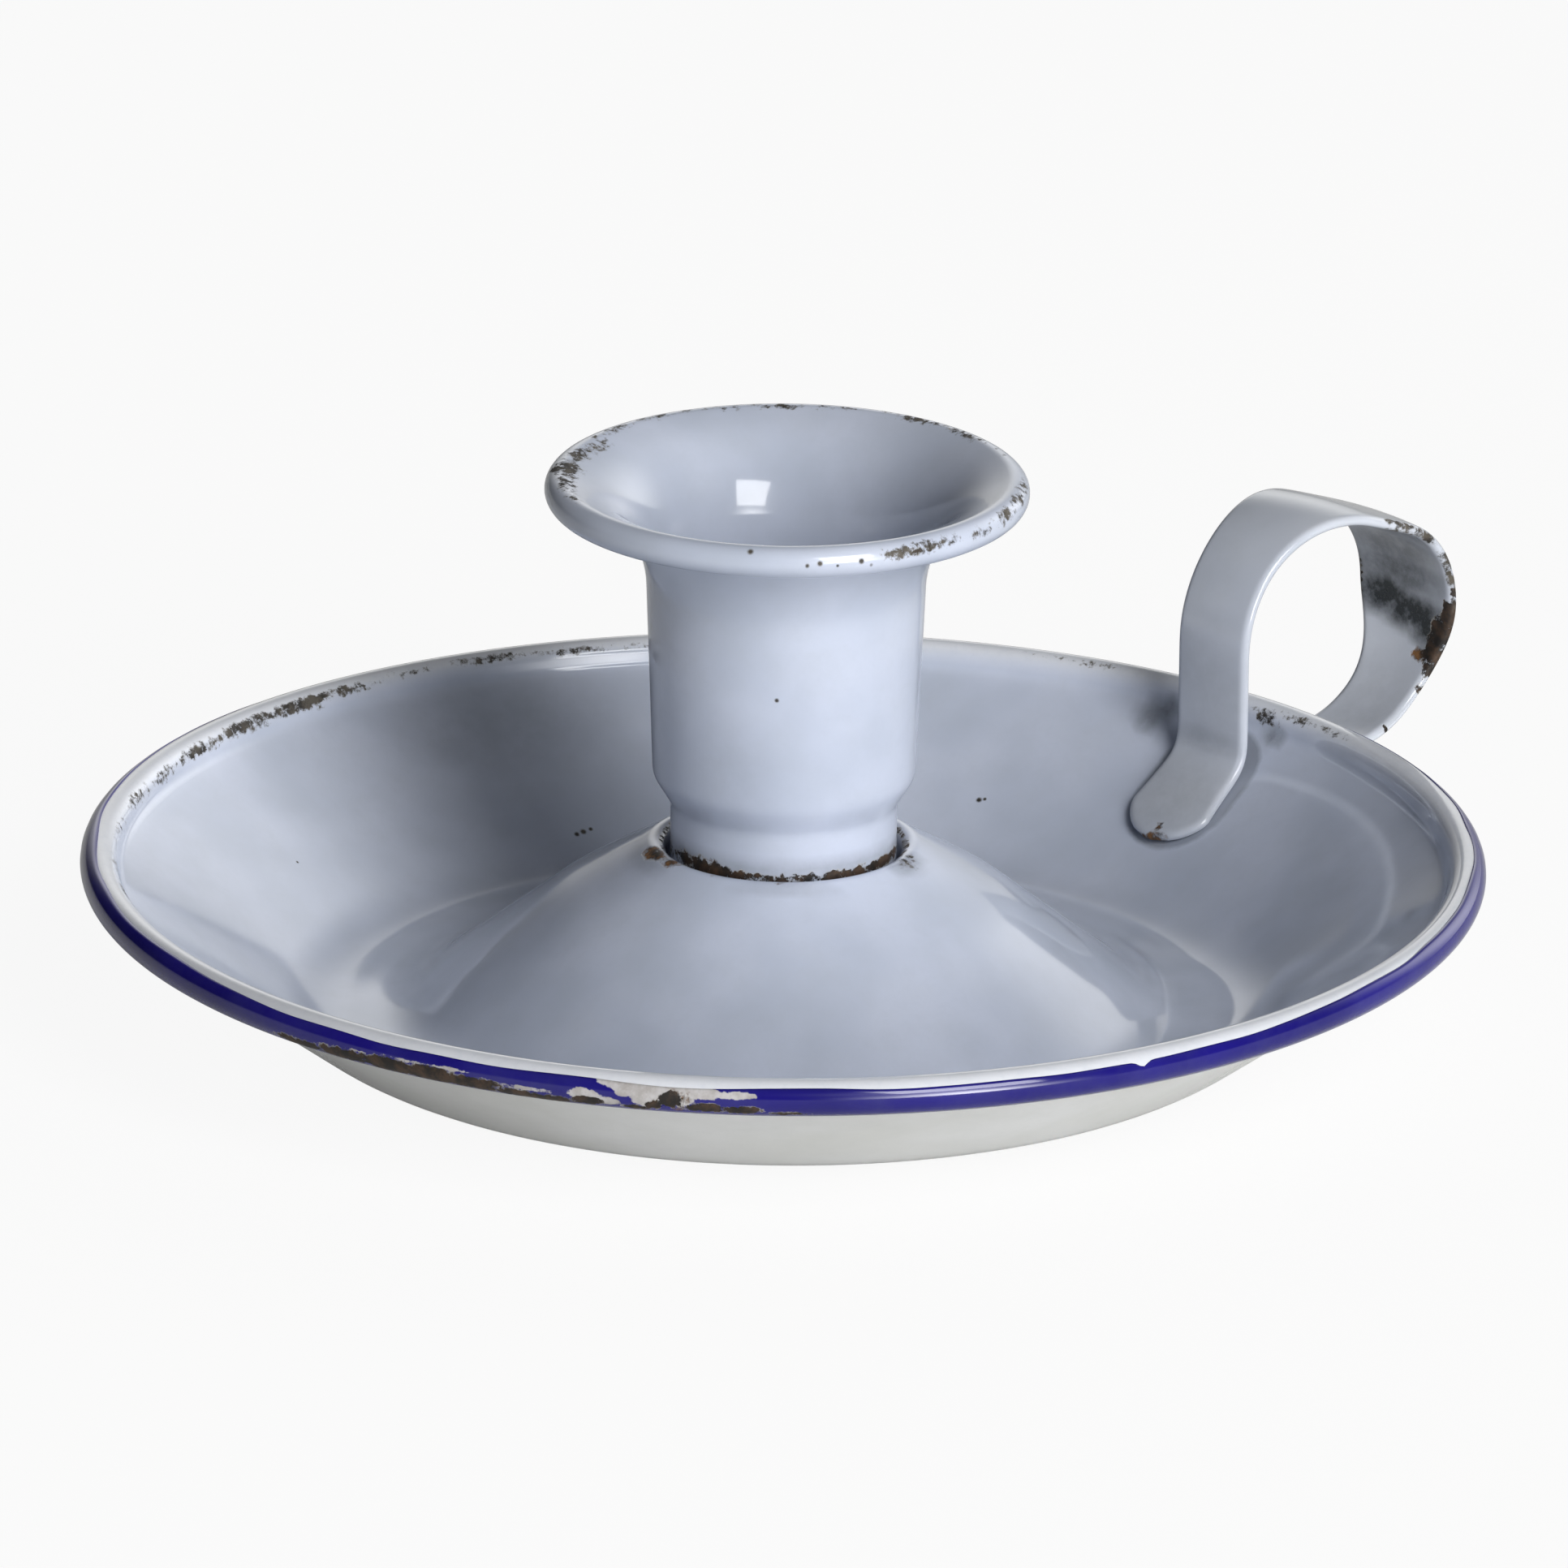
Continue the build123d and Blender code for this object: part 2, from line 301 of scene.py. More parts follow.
# the inside of the loop takes its painted reflection from the rubbed field
loopInside = enamel("pale grey vitreous enamel inside the loop", *litLoopShades, stainAndShadeField="rubbed")
whiteEnamel = enamel("white vitreous enamel", "#E4E5E7", "#DBDCDB", "#E4E5E7")
cobaltEnamel = enamel("cobalt vitreous enamel", "#211A80", "#1B166E", "#211A80", under="#C6C4C5")


# Bare low-carbon steel, fused by the welder: dull grey with a brown bloom
steelLook = {
    "noise": (0.8, 3.0, 0.6),  # size of the grain in mm, detail, roughness
    "bloom": (0.4, 0.65),  # values of the noise between which the bloom comes in
    "grey": "#6A655F",
    "brown": "#4A3524",
    "metallic": 0.8,
    "roughness": 0.55,
}


def weldSteel():
    material, tree, shader = newMaterial("spot-welded bare steel")
    coords = addNode(tree, "TexCoord", {}, output="Object")
    grain, detail, roughness = steelLook["noise"]
    low, high = steelLook["bloom"]
    bloom = addNode(tree, "TexNoise", {
        "Vector": coords, "Scale": 1 / (grain * mm), "Detail": detail, "Roughness": roughness})
    bloom = addNode(tree, "MapRange", {"Value": bloom, "From Min": low, "From Max": high}, **smooth)
    color = addNode(tree, "Mix", {
        "Factor": bloom, 6: hexColor(steelLook["grey"]), 7: hexColor(steelLook["brown"])}, **colorMix)
    tree.links.new(color, shader.inputs["Base Color"])
    shader.inputs["Metallic"].default_value = steelLook["metallic"]
    shader.inputs["Roughness"].default_value = steelLook["roughness"]
    return material


steel = weldSteel()
print("materials made")


# Shaping: a section is drawn in the XZ plane in mm, and then spun round the axis or drawn out along Y

shaping = {
    "arcStep": 12.0,  # degrees, the longest step of a bend
    "mergeGap": 0.001,  # mm
    "rowGap": 0.01,
}


def onSection(place):
    return Vector((place[0], 0, place[1])) * mm


def runTo(bm, last, place, stride):
    way = onSection(place) - last.co
    steps = max(1, math.ceil(way.length / (stride * mm)))
    for _ in range(steps):
        last = bmesh.ops.extrude_vert_indiv(bm, verts=[last])["verts"][0]
        last.co += way / steps
    return last


def arcOn(bm, last, center, turn, radius, stride):
    longest = math.radians(shaping["arcStep"])
    steps = max(math.ceil(abs(turn) / longest), math.ceil(abs(turn) * radius / stride))
    made = bmesh.ops.spin(bm, geom=[last], cent=onSection(center), axis=(0, -1, 0), angle=turn, steps=steps)
    return next(item for item in made["geom_last"] if isinstance(item, bmesh.types.BMVert))


def bentLine(bm, corners, bends, stride):
    # a line through the corners, with each inner corner bent to its radius
    points = [Vector(corner) for corner in corners]
    last = bm.verts.new(onSection(points[0]))
    for before, corner, after, radius in zip(points, points[1:], points[2:], bends):
        arriving = (corner - before).normalized()
        turn = -arriving.angle_signed((after - corner).normalized())
        start = corner - arriving * radius * math.tan(abs(turn) / 2)
        center = start + Vector((-arriving.y, arriving.x)) * math.copysign(radius, turn)
        last = arcOn(bm, runTo(bm, last, start, stride), center, turn, radius, stride)
    return runTo(bm, last, points[-1], stride)


def spinRound(bm, segments):
    bmesh.ops.spin(
        bm, geom=bm.verts[:] + bm.edges[:], cent=(0, 0, 0), axis=(0, 0, 1),
        angle=2 * math.pi, steps=segments, use_merge=True)
    bmesh.ops.remove_doubles(bm, verts=bm.verts, dist=shaping["mergeGap"] * mm)
    bmesh.ops.recalc_face_normals(bm, faces=bm.faces)


def faceUp(bm, face):
    if face.normal.z < 0:
        bmesh.ops.reverse_faces(bm, faces=bm.faces)


def turnedSheet(look, corners, bends, center, radius):
    # a section bent through the corners and curled over at its end, spun round the axis with its upper side out
    bm = bmesh.new()
    last = bentLine(bm, corners, [look[name] for name in bends], look["stride"])
    arcOn(bm, last, center, -math.radians(look["curl"]), radius, look["stride"])
    spinRound(bm, look["segments"])
    faceUp(bm, min(bm.faces, key=lambda face: face.calc_center_median().xy.length))
    return bm


def finishPiece(bm, name, materials, node):
    mesh = bpy.data.meshes.new(name)
    bm.to_mesh(mesh)
    bm.free()
    mesh.shade_smooth()
    for material in materials:
        mesh.materials.append(material)
    piece = bpy.data.objects.new(name, mesh)
    bpy.context.scene.collection.objects.link(piece)
    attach(piece, "root")
    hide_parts(node)
    print(name, "made,", len(mesh.polygons), "faces")
    return piece


def thicken(piece, sheet, underSlot=0, rimSlot=0, offset=0.0):
    wall = piece.modifiers.new("sheet", "SOLIDIFY")
    wall.thickness = sheet * mm
    wall.offset = offset
    wall.use_even_offset = True
    wall.material_offset = underSlot
    wall.material_offset_rim = rimSlot
    return wall


def wearField(piece, name, patches):
    # how worn each point is: a patch is the angle in degrees, radius and height of its middle, half its length
    # along the ring, half its width and its strength, and one with no angle goes all the way round
    mesh = piece.data
    spots = np.empty(len(mesh.vertices) * 3, np.float32)
    mesh.vertices.foreach_get("co", spots)
    spots = spots.reshape(-1, 3) / mm
    worn = np.zeros(len(spots), np.float32)
    radii = np.hypot(spots[:, 0], spots[:, 1])
    for angle, radius, height, halfLength, halfWidth, strength in patches:
        if angle is None:
            reach = ((radii - radius) ** 2 + (spots[:, 2] - height) ** 2) / halfWidth ** 2
        else:
            turn = math.radians(angle)
            offset = spots - np.array(ringPlace(angle, radius, height))
            along = offset @ np.array([-math.sin(turn), math.cos(turn), 0])
            across = np.sqrt(np.maximum((offset ** 2).sum(1) - along ** 2, 0))
            reach = (along / halfLength) ** 2 + (across / halfWidth) ** 2
        worn = np.maximum(worn, strength * np.clip(1 - reach, 0, 1))
    mesh.attributes.new(name, "FLOAT", "POINT").data.foreach_set("value", worn)


# Drip pan: one pressed sheet, with a bead rolled outwards along its edge

pan = {
    "radius": 75.0,
    "rimHeight": 18.7,
    "sheet": 0.9,
    "rimRadius": 2.0,  # of the bead with its border
    "beadRadius": 1.95,  # under the border
    "riser": 1.5,
    "riserAngle": 75.0,
    "curl": 265.0,
    "rimBend": 2.4,
    "wallRun": 24.75,
    "footBend": 13.0,
    "floorWidth": 10.05,
    "bossFootBend": 9.0,
    "bossHeight": 19.8,
    "shoulderShares": (0.4, 0.68),
    "shoulderBend": 25.0,
    "seatDepth": 4.5,
    "seatRadius": 13.0,
    "seatBend": 0.8,
    "crownBend": 0.9,
    "segments": 360,
    "stride": 1.0,
    "rimWarp": 0.3,  # the rim is a little saddle-shaped, low towards the camera and away from it
    "paleFrom": 71.4,  # radius at which the coat begins to pale towards the bead: partly the bead's own paler coat, partly painted highlight on its top
    "paleWidth": 0.7,
    "speck": [  # broken dark line on the inner shoulder of the bead
        (165, 71.6, 17.2, 5, 1.0, 0.7), (153, 71.7, 17.5, 5, 1.0, 0.95), (147, 71.6, 17.5, 5, 1.0, 1.0),
        (139, 71.5, 17.6, 6, 0.8, 0.7), (130, 71.4, 17.7, 7, 0.8, 0.65), (121, 71.4, 17.7, 6, 0.9, 0.9),
        (114, 71.3, 17.5, 5, 1.0, 1.1), (107, 71.4, 17.6, 6, 0.9, 1.25), (99, 71.5, 17.7, 7, 0.9, 1.45),
        (92, 71.5, 17.7, 7, 0.9, 1.4), (86, 71.6, 17.8, 5, 0.8, 1.0), (79, 71.7, 17.9, 5, 0.7, 0.8),
        (71, 71.7, 18.0, 7, 0.8, 1.25), (63, 71.5, 17.9, 7, 0.9, 1.35), (56, 71.4, 17.8, 5, 0.9, 1.1),
        (38, 72, 18.2, 9, 0.7, 0.7), (18, 72, 18.2, 9, 0.7, 0.8), (-163, 72.0, 18.2, 12, 0.6, 0.7),
        (172, 72, 18.1, 10, 0.7, 0.8), (-2.4, 71.5, 17.3, 2.4, 1.2, 1.15), (-6.5, 71.9, 18.1, 4, 0.8, 0.9),
        (-11, 72.1, 18.3, 4, 0.7, 0.7), (-70, 14.6, 19.5, 3, 1.6, 0.9),
    ],
    "rust": [
        (-138, 13.9, 19.9, 2.6, 1.0, 1.0), (-145, 13.8, 19.9, 2.0, 0.8, 0.9), (-129, 13.8, 19.9, 2.2, 0.7, 0.65),
        (-160, 13.9, 19.8, 2.6, 0.9, 0.75), (-168, 14.0, 19.8, 2.2, 0.9, 0.7), (152, 14.5, 19.5, 3.5, 1.5, 1.0),
        (165, 14.1, 19.7, 3.0, 1.2, 0.95), (-95, 13.8, 19.9, 2.4, 0.7, 0.6), (-75, 14.1, 19.7, 2.4, 1.0, 0.6),
        (60, 13.9, 19.8, 4, 0.9, 0.6), (10, 13.9, 19.8, 4, 0.9, 0.6), (-30, 13.9, 19.8, 3, 0.9, 0.6),
    ],
    "chip": [  # the dirty crevice round the neck of the socket
        (None, 12.9, 19.4, None, 0.9, 0.9), (-163, 13.2, 19.8, 3.5, 0.8, 0.8), (172, 13.3, 19.8, 3.0, 0.9, 0.8),
        (-138, 13.4, 19.9, 1.2, 0.6, 0.7), (-3.6, 71.0, 16.6, 1.1, 0.8, 0.85),
    ],
    # darker patches beside the foot of the loop's leg, a painted shadow of the socket on the far wall at 72
    # degrees, and dirt round the crown
    "stainAndShade": [
        (9.4, 69.4, 14.8, 2.4, 3.2, 0.55), (8.0, 70.4, 15.8, 2.0, 2.0, 0.7), (-4.2, 70.6, 16.0, 2.0, 1.8, 0.7),
        (72, 66.0, 12.6, 16, 8, 0.2), (152, 15.2, 19.2, 6, 2.6, 0.35), (-135, 14.6, 19.3, 9, 1.8, 0.25),
        (-71, 14.6, 19.4, 4, 2.2, 0.5),
    ],
}


def rimLine(beadRadius):
    # the middle of the bead, where the wall's sheet runs into a bead of that radius, and the top of the wall
    bead = Vector((pan["radius"] - pan["rimRadius"], pan["rimHeight"] - pan["rimRadius"]))
    middle = beadRadius - pan["sheet"] / 2
    startAngle, rise = math.radians(90 + pan["riserAngle"]), math.radians(pan["riserAngle"])
    tangent = bead + middle * Vector((math.cos(startAngle), math.sin(startAngle)))
    wallTop = tangent - pan["riser"] * Vector((math.cos(rise), math.sin(rise)))
    return bead, tangent, wallTop


def rimLift(turn):
    return pan["rimWarp"] * math.cos(2 * (turn - math.radians(camera["azimuth"])))


def makePan():
    bead, tangent, wallTop = rimLine(pan["beadRadius"])
    half = pan["sheet"] / 2
    foot = pan["radius"] - pan["wallRun"]
    bossFoot = foot - pan["floorWidth"]
    seatLevel = pan["bossHeight"] - pan["seatDepth"] - half
    across, up = pan["shoulderShares"]
    shoulder = (pan["seatRadius"] + (bossFoot - pan["seatRadius"]) * across, pan["bossHeight"] * up)
    corners = [
        (0, seatLevel), (pan["seatRadius"], seatLevel), (pan["seatRadius"], pan["bossHeight"]), shoulder,
        (bossFoot, half), (foot, half), wallTop, tangent]
    bends = ("seatBend", "crownBend", "shoulderBend", "bossFootBend", "footBend", "rimBend")
    bm = turnedSheet(pan, corners, bends, bead, pan["beadRadius"] - half)
    for vert in bm.verts:
        share = max(0.0, (vert.co.xy.length / mm - foot) / pan["wallRun"])
        vert.co.z += rimLift(math.atan2(vert.co.y, vert.co.x)) * share * mm
    piece = finishPiece(bm, "dripPan", [panEnamel, whiteEnamel], "drip_pan")
    for name in ("speck", "chip", "rust", "stainAndShade"):
        wearField(piece, name, pan[name])
    radii = np.array([vert.co.xy.length for vert in piece.data.vertices]) / mm
    pale = np.clip((radii - pan["paleFrom"]) / pan["paleWidth"], 0, 1).astype(np.float32)
    piece.data.attributes.new("pale", "FLOAT", "POINT").data.foreach_set("value", pale)
    thicken(piece, pan["sheet"], underSlot=1, rimSlot=1)
    return bead


beadCenter = makePan()


# Cobalt border: a thin coat over the outer side of the bead, brushed on by hand

band = {
    "radius": pan["rimRadius"],
    "thickness": 0.12,
    "upper": 41.0,  # degrees round the bead
    "lower": -86.0,
    # where the coat runs higher or lower: angle, tightness, degrees
    "edges": [(134.0, 1.5, 41.0), (-45.0, 1.8, 34.0), (-163.0, 4.0, 4.0)],
    "edgeWave": 0.14,  # mm that the brushed edge wanders
    "waveLength": 9.0,
    "waveSlice": 0.3,  # the level at which the ring cuts the noise
    "lapAngle": -105.1,  # a nick where the brush stroke met its start
    "lapDip": 17.0,
    "lapWidth": 0.55,
    "segments": 960,
    "stride": 0.3,
    "bare": [
        (-149.6, 74.6, 17.9, 1.6, 0.8, 1.2), (-148.0, 74.8, 17.4, 2.0, 1.3, 1.3),
        (-146.0, 75.0, 16.8, 2.4, 2.2, 1.4), (-143.6, 75.0, 17.0, 2.2, 1.9, 1.35),
        (-141.6, 74.9, 17.2, 2.2, 0.9, 1.2), (-139.2, 74.9, 17.1, 3.2, 0.6, 1.1),
        (-151.4, 74.9, 16.1, 2.4, 0.9, 1.1), (-149.4, 74.8, 15.6, 1.6, 0.7, 1.0),
        (-167.0, 74.9, 16.7, 4.0, 0.35, 0.75), (-163.0, 74.9, 16.8, 4.0, 0.35, 0.8),
        (-171.0, 74.9, 16.5, 3.0, 0.3, 0.7), (-156.0, 74.9, 16.0, 5.0, 0.35, 0.75),
    ],
    "chip": [
        (-178, 74.6, 15.5, 5, 0.9, 0.8), (-173.5, 74.7, 15.6, 5, 1.2, 0.9), (-169, 74.8, 15.7, 5, 1.4, 1.0),
        (-165, 74.8, 15.7, 5, 1.4, 1.0), (-161, 74.7, 15.6, 4.5, 1.2, 0.95), (-157, 74.4, 15.3, 4.5, 0.9, 0.9),
        (-154, 74.3, 15.2, 4, 0.8, 0.9), (-151.2, 74.6, 15.4, 2.4, 0.9, 1.0), (-147.0, 74.4, 15.2, 2.4, 0.6, 0.8),
        (-144.4, 75.0, 16.3, 1.7, 1.3, 1.1), (-145.6, 74.7, 15.6, 1.6, 0.8, 0.8),
        (-141.6, 74.7, 15.6, 3.0, 0.9, 0.9), (-138.6, 74.6, 15.5, 3.0, 0.8, 0.9), (-135, 74.3, 15.2, 3.5, 0.6, 0.8),
    ],
    "rust": [
        (-144.0, 75.0, 16.2, 3.2, 1.8, 0.55), (-150.8, 74.6, 15.5, 1.6, 0.6, 0.6),
        (-170, 74.7, 15.6, 6, 0.9, 0.5),
    ],
}


def makeBand():
    bm = bmesh.new()
    first = math.radians(band["upper"])
    last = bm.verts.new(onSection(beadCenter + band["radius"] * Vector((math.cos(first), math.sin(first)))))
    arcOn(bm, last, beadCenter, math.radians(band["lower"] - band["upper"]), band["radius"], band["stride"])
    spinRound(bm, band["segments"])
    for vert in bm.verts:
        turn = math.atan2(vert.co.y, vert.co.x)
        around = math.degrees(turn)
        outward = vert.co.xy.length / mm - beadCenter.x
        angle = math.degrees(math.atan2(vert.co.z / mm - beadCenter.y, outward))
        if angle > 0:
            spot = Vector((math.cos(turn), math.sin(turn), band["waveSlice"])) * pan["radius"] / band["waveLength"]
            upper = band["upper"] + 2 * math.degrees(band["edgeWave"] / band["radius"]) * noise.noise(spot)
            for place, tightness, extra in band["edges"]:
                away = math.remainder(turn - math.radians(place), math.tau)
                upper += extra * math.cos(min(abs(tightness * away), math.pi / 2)) ** 2
            upper -= band["lapDip"] * math.exp(-((around - band["lapAngle"]) / band["lapWidth"]) ** 2)
            angle *= upper / band["upper"]
        angle = math.radians(angle)
        radius = beadCenter.x + band["radius"] * math.cos(angle)
        height = beadCenter.y + band["radius"] * math.sin(angle) + rimLift(turn)
        vert.co = Vector((radius * math.cos(turn), radius * math.sin(turn), height)) * mm
    piece = finishPiece(bm, "rimBand", [cobaltEnamel], "rim_band")
    for name in ("bare", "chip", "rust"):
        wearField(piece, name, band[name])
    thicken(piece, band["thickness"], offset=-1.0)


makeBand()


# Candle socket: a drawn cup with a stepped neck and a flared lip that is rolled over

socket = {
    "neckRadius": 12.1,
    "sheet": 0.9,
    "floorHeight": 15.55,
    "height": 60.6,
    "floorBend": 1.2,
    "stepHeight": 24.3,
    "stepRise": 3.2,
    "stepWidth": 1.95,
    "stepBend": 2.6,
    "taper": 1.15,
    "flareDepth": 4.0,
    "flareBend": 12.5,
    "lipRadius": 25.8,
    "lipBead": 1.7,
    "curl": 235.0,
    "segments": 224,
    "stride": 0.9,
    "speck": [
        (108, 22.8, 60.2, 4, 1.2, 0.95), (118, 23.2, 60.3, 4, 1.5, 1.1), (130, 23.4, 60.3, 5, 1.7, 1.2),
        (143, 23.6, 60.4, 4, 1.4, 1.1), (154, 24.2, 60.5, 4, 0.9, 0.8), (-50, 25.1, 60.2, 4, 1.0, 0.95),
        (-60, 25.2, 60.1, 4, 1.1, 1.0), (-70, 25.4, 59.9, 4, 1.1, 1.05), (-82, 25.6, 59.6, 4, 0.9, 0.85),
        (-93, 25.5, 59.7, 3, 0.9, 1.0), (-101, 25.5, 59.7, 3.6, 1.0, 1.05), (-108, 25.5, 59.6, 3, 0.9, 1.0),
        (46, 23.6, 60.4, 5, 0.8, 1.05), (33, 23.9, 60.5, 4, 0.7, 1.0), (10, 23.9, 60.5, 6, 0.8, 1.05),
        (-8, 23.9, 60.5, 5, 0.9, 1.05), (-24, 24.2, 60.6, 4, 0.7, 0.9), (60, 23.9, 60.5, 6, 0.7, 1.0),
        (78, 23.9, 60.5, 6, 0.7, 1.05), (96, 23.8, 60.5, 6, 0.7, 1.0),
    ],
    "chip": [
        (-99, 25.6, 59.7, 1.4, 0.7, 0.8), (-103.5, 25.6, 59.4, 1.6, 0.6, 0.8), (46, 23.2, 60.2, 2.4, 0.4, 0.75),
        (-64, 25.5, 59.8, 1.4, 0.5, 0.7), (-3, 24.0, 60.5, 2.0, 0.5, 0.7), (131, 24.6, 60.2, 1.6, 0.7, 0.8),
        # the dirty crevice at the foot of the neck
        (None, 12.1, 19.2, None, 0.9, 0.9), (165, 12.1, 19.6, 3.0, 1.1, 0.9), (178, 12.1, 19.6, 3.0, 1.2, 0.95),
        (-169, 12.1, 19.6, 3.0, 1.2, 0.95), (-158, 12.1, 19.5, 2.6, 1.0, 0.9), (-122, 12.1, 19.4, 2.6, 0.9, 0.9),
        (-110, 12.1, 19.5, 3.0, 0.9, 0.9), (-97, 12.1, 19.4, 3.0, 0.9, 0.9), (-84, 12.1, 19.4, 3.0, 0.9, 0.9),
    ],
    "rust": [
        (-150, 12.1, 20.0, 2.4, 0.7, 0.7), (-139, 12.1, 19.9, 2.2, 0.6, 0.7), (-128, 12.1, 20.0, 2.0, 0.7, 0.65),
        (-174, 12.1, 20.4, 3.0, 0.8, 0.6), (-115, 12.1, 20.2, 2.0, 0.6, 0.6),
    ],
    # a faint broad darkening low on the body, and dirt round the foot of the neck
    "stainAndShade": [(-160, 14.4, 30, 6, 10, 0.12), (None, 12.1, 19.8, None, 1.8, 0.4)],
}


def makeSocket():
    half = socket["sheet"] / 2
    neck = socket["neckRadius"] - half
    level = socket["floorHeight"] + half
    bodyFoot = Vector((neck + socket["stepWidth"], socket["stepHeight"] + socket["stepRise"]))
    flare = Vector((bodyFoot.x + socket["taper"], socket["height"] - socket["flareDepth"]))
    lip = Vector((socket["lipRadius"] - socket["lipBead"], socket["height"] - socket["lipBead"]))
    middle = socket["lipBead"] - half
    reach = lip - flare
    slope = math.atan2(reach.y, reach.x) + math.asin(middle / reach.length)
    startAngle = slope + math.pi / 2
    tangent = lip + middle * Vector((math.cos(startAngle), math.sin(startAngle)))
    corners = [(0, level), (neck, level), (neck, socket["stepHeight"]), bodyFoot, flare, tangent]
    bm = turnedSheet(socket, corners, ("floorBend", "stepBend", "stepBend", "flareBend"), lip, middle)
    piece = finishPiece(bm, "candleSocket", [paleEnamel], "candle_socket")
    for name in ("speck", "chip", "rust", "stainAndShade"):
        wearField(piece, name, socket[name])
    thicken(piece, socket["sheet"])


makeSocket()


# Finger loop: a strap bent over the rim, with a rounded tongue welded to each side of the wall

strap = {
    "sheet": 1.2,
    "halfWidth": 7.0,
    "halfWaist": 5.0,
    "waistLength": 38.0,
    "halfNeck": 4.6,  # outside the rim, where the strap comes in under the pan
    "neckHeights": (13.8, 26.0),
    "legRadius": 66.0,
    "endRadius": 97.0,
    "shoulder": 44.8,  # height at which the line of the leg meets the sloping line of the top
    "heel": 33.2,
    "bottom": 11.0,
    "outerHeight": 11.9,
    "bends": (3.6, 13.2, 11.0, 12.6, 3.6),
    "tongue": 12.0,
    "halfTongue": 5.8,
    "weldGap": 0.25,
    "crown": 0.4,  # the strap is pressed to a shallow arch across its width
    "edgeRound": 0.75,
    "thinEdge": 0.1,  # share of the sheet that is left at the very edge
    "nearTongue": 1.0,  # points this close to the line of a tongue belong to it
    "bluntTip": 0.05,
    "lowRun": 1.0,  # points up to this far above the outer bend belong to the run under the pan
    "ease": (64.0, 6, 0.5),  # the bends beyond this radius are eased into each other: radius, passes, share
    "stride": 0.6,
    "across": 30,
    "chip": [  # the edge that knocks against things, bare on the side of the hand
        (-3.9, 96.6, 24.4, 1.2, 2.1, 1.0), (-3.2, 96.2, 22.0, 2.2, 2.5, 1.0), (-2.8, 95.4, 19.8, 2.1, 2.0, 1.0),
        (-2.9, 94.4, 18.0, 1.4, 1.5, 0.95), (-3.0, 93.4, 16.4, 1.0, 1.2, 0.9),
        (-3.2, 93.8, 17.6, 0.8, 1.0, 1.0), (-4.2, 96.6, 26.8, 0.6, 0.7, 0.8), (-4.4, 92.6, 34.2, 0.6, 0.7, 0.8),
        (-3.0, 91.8, 14.8, 0.6, 0.6, 0.85), (-3.0, 88.8, 12.2, 0.6, 0.6, 0.8), (3.9, 96.4, 26.0, 0.7, 0.8, 0.85),
        (3.7, 96.0, 22.4, 0.7, 0.9, 0.85), (-4.6, 66.0, 28.5, 0.4, 1.0, 0.6), (2.0, 85.0, 11.2, 1.0, 1.0, 0.8),
    ],
    "rust": [
        (-1.9, 95.2, 19.2, 1.9, 1.5, 0.9), (-0.8, 57.2, 7.7, 0.7, 1.2, 1.0), (-1.6, 56.4, 6.7, 2.6, 0.7, 0.9),
        (0.6, 56.2, 6.4, 1.8, 0.6, 0.8), (2.4, 86.0, 11.4, 1.2, 1.2, 0.7),
    ],
    "speck": [
        (-4.4, 88.4, 36.4, 0.6, 4, 0.9), (-4.4, 92.4, 34.2, 0.6, 3, 1.0), (-4.2, 96.0, 29.6, 0.6, 4, 0.95),
        (-3.2, 92.0, 15.6, 0.6, 4, 1.0), (-4.7, 65.6, 26.0, 0.5, 5, 0.85), (4.0, 96.4, 24.6, 0.6, 5, 1.0),
        (-4.3, 96.4, 25.6, 0.6, 3, 1.0),
    ],
    # painted reflection on the inside of the loop, also made duller, darkest in a wedge at its lower end
    "rubbed": [
        (0, 92.6, 35.0, 9, 5.0, 0.62), (0.6, 96.0, 31.2, 9, 4.6, 0.75), (0.6, 96.4, 27.6, 9, 4.2, 0.85),
        (1.8, 96.4, 24.4, 6, 3.4, 1.25), (-0.6, 96.4, 23.2, 7, 3.0, 1.3), (-2.4, 96.0, 21.6, 4.5, 2.4, 1.3),
        (-2.6, 95.2, 20.0, 2.4, 1.8, 1.1), (0, 90.0, 14.0, 9, 8.0, 0.25),
    ],
    # darker patches low on the leg and over the tongue
    "stainAndShade": [(0, 66.4, 15.4, 6, 2.4, 0.3), (0, 66.0, 22.0, 9, 9.0, 0.14), (0, 60.0, 10.5, 9, 8.0, 0.26)],
}


def wallLine(height=None, radius=None, side=0.0):
    # the point at that height or radius on a line beside the middle of the pan's wall, and the wall's direction
    _, _, wallTop = rimLine(pan["rimRadius"])
    foot = Vector((pan["radius"] - pan["wallRun"], pan["sheet"] / 2))
    direction = (wallTop - foot).normalized()
    start = foot + Vector((-direction.y, direction.x)) * side
    reach = (radius - start.x) / direction.x if height is None else (height - start.y) / direction.y
    return start + direction * reach, direction


def easeBetween(value, start, end, low, high):
    share = min(max((value - start) / (end - start), 0.0), 1.0)
    return low + (high - low) * (1 - math.cos(math.pi * share)) / 2


